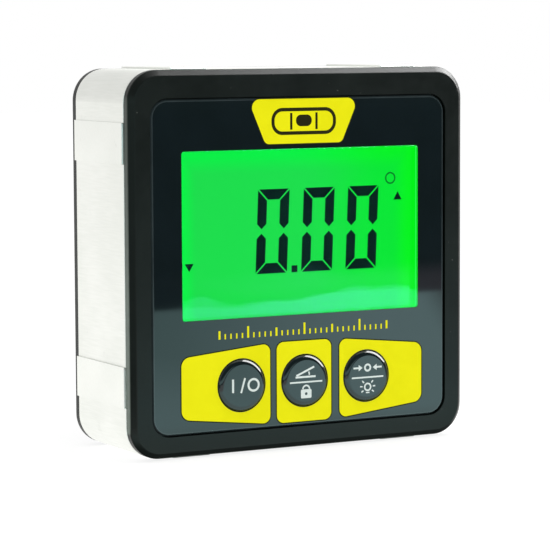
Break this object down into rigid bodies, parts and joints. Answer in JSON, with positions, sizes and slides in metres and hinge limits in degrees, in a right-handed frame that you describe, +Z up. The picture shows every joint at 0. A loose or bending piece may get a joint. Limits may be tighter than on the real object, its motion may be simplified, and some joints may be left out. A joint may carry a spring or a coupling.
{
  "type": "digital inclinometer",
  "caption": "Square pocket inclinometer: aluminium frame with raised lands, black bezel and cover, green back-lit display, domed push buttons, magnetic base and battery door.",
  "frame": {"origin": "under the middle of the object, in the plane of the base lands", "axes": "X to the right as the display is read, Y from the front to the back, Z up"},
  "size_m": [0.06, 0.0222, 0.06],
  "materials": {
    "frame_metal": "satin, fine brushed",
    "bezel_black": "fine spark texture",
    "cover_black": "fine spark texture",
    "panel_black": "gloss",
    "window_clear": "clear gloss",
    "button_black": "gloss",
    "rubber_black": "matt",
    "display_lit": "satin",
    "display_glass": "clear",
    "polarizer_film": "satin",
    "diffuser_white": "matt",
    "guide_clear": "clear gloss",
    "reflector_silver": "mirror film",
    "lamp_green": "satin",
    "holder_white": "satin",
    "zebra_grey": "striped",
    "board_green": "solder mask",
    "chip_black": "moulded",
    "part_steel": "satin",
    "capacitor_tan": "satin",
    "switch_steel": "satin",
    "plunger_black": "satin",
    "screw_steel": "nickel plated",
    "insert_brass": "turned",
    "magnet_nickel": "nickel plated",
    "cell_wrap": "printed wrap, gloss",
    "contact_nickel": "nickel plated"
  },
  "bodies": {
    "housing": {"body_frame": "frame_metal", "front_bezel": "bezel_black", "front_overlay": "panel_black", "display_window": "window_clear", "front_seal": "rubber_black", "rear_seal": "rubber_black", "rear_cover": "cover_black", "cover_screws": "screw_steel", "threaded_inserts": "insert_brass", "lcd_front_polarizer": "display_lit", "lcd_front_glass": "display_glass", "lcd_rear_glass": "display_glass", "lcd_rear_polarizer": "polarizer_film", "diffuser_film": "diffuser_white", "light_guide": "guide_clear", "reflector_film": "reflector_silver", "backlight_leds": "lamp_green", "lcd_holder": "holder_white", "zebra_strip": "zebra_grey", "main_board": "board_green", "board_screws": "screw_steel", "controller_chip": "chip_black", "tilt_sensor": "chip_black", "crystal": "part_steel", "chip_capacitors": "capacitor_tan", "battery_upper": "cell_wrap", "battery_lower": "cell_wrap", "contact_link": "contact_nickel", "contact_positive": "contact_nickel", "contact_negative": "contact_nickel", "spring_upper": "contact_nickel", "spring_lower": "contact_nickel", "base_magnet_1": "magnet_nickel", "base_magnet_2": "magnet_nickel", "base_magnet_3": "magnet_nickel", "base_magnet_4": "magnet_nickel", "button_seal_power": "rubber_black", "switch_body_power": "switch_steel", "button_seal_hold": "rubber_black", "switch_body_hold": "switch_steel", "button_seal_zero": "rubber_black", "switch_body_zero": "switch_steel"},
    "power_key": {"button_power": "button_black", "switch_plunger_power": "plunger_black"},
    "hold_key": {"button_hold": "button_black", "switch_plunger_hold": "plunger_black"},
    "zero_key": {"button_zero": "button_black", "switch_plunger_zero": "plunger_black"},
    "door": {"battery_door": "cover_black", "door_seal": "rubber_black", "door_screws": "screw_steel"}
  },
  "joints": [
    {"name": "power_press", "type": "slide", "parent": "housing", "child": "power_key", "axis": [0, 1, 0], "range_m": [0, 0.0005], "stiffness_N_per_m": 2000, "springref_m": -0.0003},
    {"name": "hold_press", "type": "slide", "parent": "housing", "child": "hold_key", "axis": [0, 1, 0], "range_m": [0, 0.0005], "stiffness_N_per_m": 2000, "springref_m": -0.0003},
    {"name": "zero_press", "type": "slide", "parent": "housing", "child": "zero_key", "axis": [0, 1, 0], "range_m": [0, 0.0005], "stiffness_N_per_m": 2000, "springref_m": -0.0003},
    {"name": "door_lift", "type": "slide", "parent": "housing", "child": "door", "axis": [0, 1, 0], "range_m": [0, 0.02]}
  ]
}
